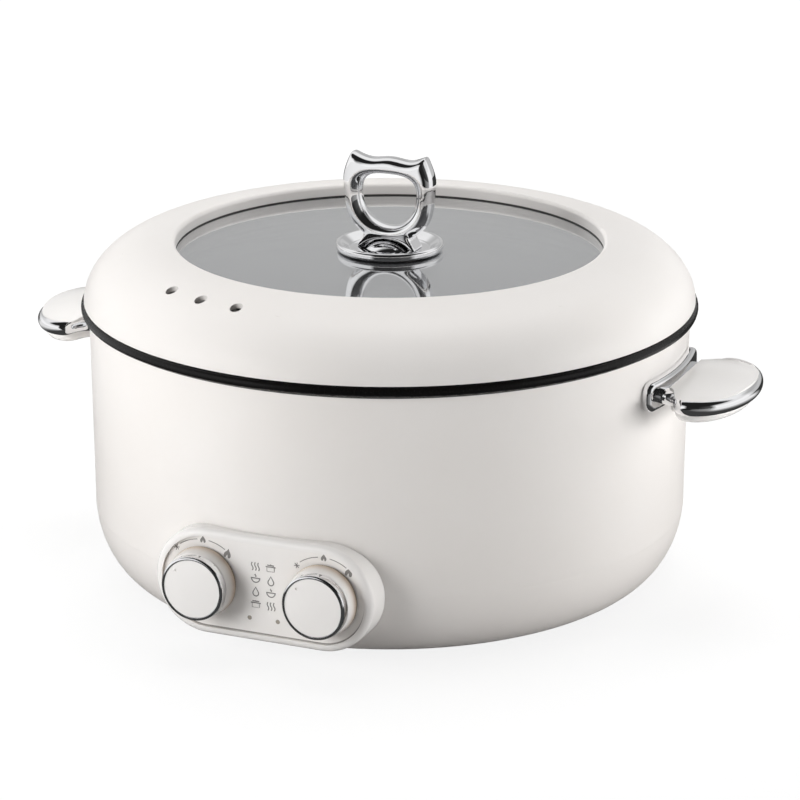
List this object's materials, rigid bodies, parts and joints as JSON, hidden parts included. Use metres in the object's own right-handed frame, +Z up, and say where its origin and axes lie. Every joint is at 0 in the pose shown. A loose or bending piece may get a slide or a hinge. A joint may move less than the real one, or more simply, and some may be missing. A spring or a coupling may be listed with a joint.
{
  "type": "electric hot pot with lid",
  "caption": "Wide electric hot pot with a divided non-stick pan, heat knobs on a low front panel, chrome side handles and a lift-off glass lid in a thick ring.",
  "frame": {"origin": "on the floor plane, under the middle of the pan", "axes": "+X to the pot's right-hand side handle, +Y to the back with the power inlet, +Z up"},
  "size_m": [0.4, 0.3438, 0.2242],
  "materials": {
    "cream_housing": "smooth gloss cream",
    "cream_lid": "smooth gloss cream",
    "cream_trim": "smooth gloss cream",
    "chrome": "bright plated",
    "non_stick": "dark non-stick coating",
    "steel": "plain steel",
    "element": "heat-darkened steel tube",
    "shield": "mill finish",
    "brass": "bright pins",
    "dark_plastic": "fine matte",
    "grey_plastic": "fine matte",
    "board": "lacquered board",
    "lens": "unlit lamp lens",
    "dark_rubber": "soft matte",
    "seal_rubber": "silicone",
    "lid_glass": "clear toughened glass with a grey tint",
    "lead_sleeve": "silicone insulation"
  },
  "bodies": {
    "pot": {"outer_housing": "cream_housing", "base_plate": "grey_plastic", "feet": "dark_rubber", "base_posts": "steel", "base_screws": "steel", "pan": "non_stick", "pan_divider": "non_stick", "rim_seal": "seal_rubber", "right_heater": "element", "left_heater": "element", "heat_shield": "shield", "thermal_fuses": "dark_plastic", "control_pod": "cream_trim", "control_face": "cream_trim", "indicator_lenses": "lens", "indicator_board": "board", "control_bracket": "steel", "bracket_screws": "steel", "left_regulator": "dark_plastic", "right_regulator": "dark_plastic", "regulator_nuts": "brass", "inlet_shroud": "cream_trim", "power_inlet": "dark_plastic", "inlet_pins": "brass", "inlet_screws": "steel", "terminal_block": "grey_plastic", "supply_leads": "lead_sleeve", "regulator_leads": "lead_sleeve", "heater_leads": "lead_sleeve", "right_handle_frame": "chrome", "right_handle_top": "cream_trim", "right_handle_bottom": "cream_trim", "right_handle_screws": "steel", "left_handle_frame": "chrome", "left_handle_top": "cream_trim", "left_handle_bottom": "cream_trim", "left_handle_screws": "steel"},
    "left_knob": {"left_knob_body": "cream_trim", "left_knob_ring": "chrome", "left_knob_cap": "cream_trim", "left_spindle": "brass"},
    "right_knob": {"right_knob_body": "cream_trim", "right_knob_ring": "chrome", "right_knob_cap": "cream_trim", "right_spindle": "brass"},
    "lid": {"lid_ring": "cream_lid", "lid_liner": "cream_lid", "liner_screws": "steel", "lid_glass": "lid_glass", "glass_seal": "seal_rubber", "glass_clips": "dark_plastic", "lid_handle": "chrome", "handle_disc": "chrome", "handle_seals": "seal_rubber", "handle_washer": "steel", "handle_screw": "steel"}
  },
  "joints": [
    {"name": "left_knob_turn", "type": "hinge", "parent": "pot", "child": "left_knob", "pos_m": [-0.0324, -0.1581, 0.0416], "axis": [0, 1, 0], "range_deg": [0, 87]},
    {"name": "right_knob_turn", "type": "hinge", "parent": "pot", "child": "right_knob", "pos_m": [0.0324, -0.1581, 0.0416], "axis": [0, 1, 0], "range_deg": [0, 87]},
    {"name": "lid_lift", "type": "slide", "parent": "pot", "child": "lid", "axis": [0, 0, 1], "range_m": [0, 0.12]}
  ]
}
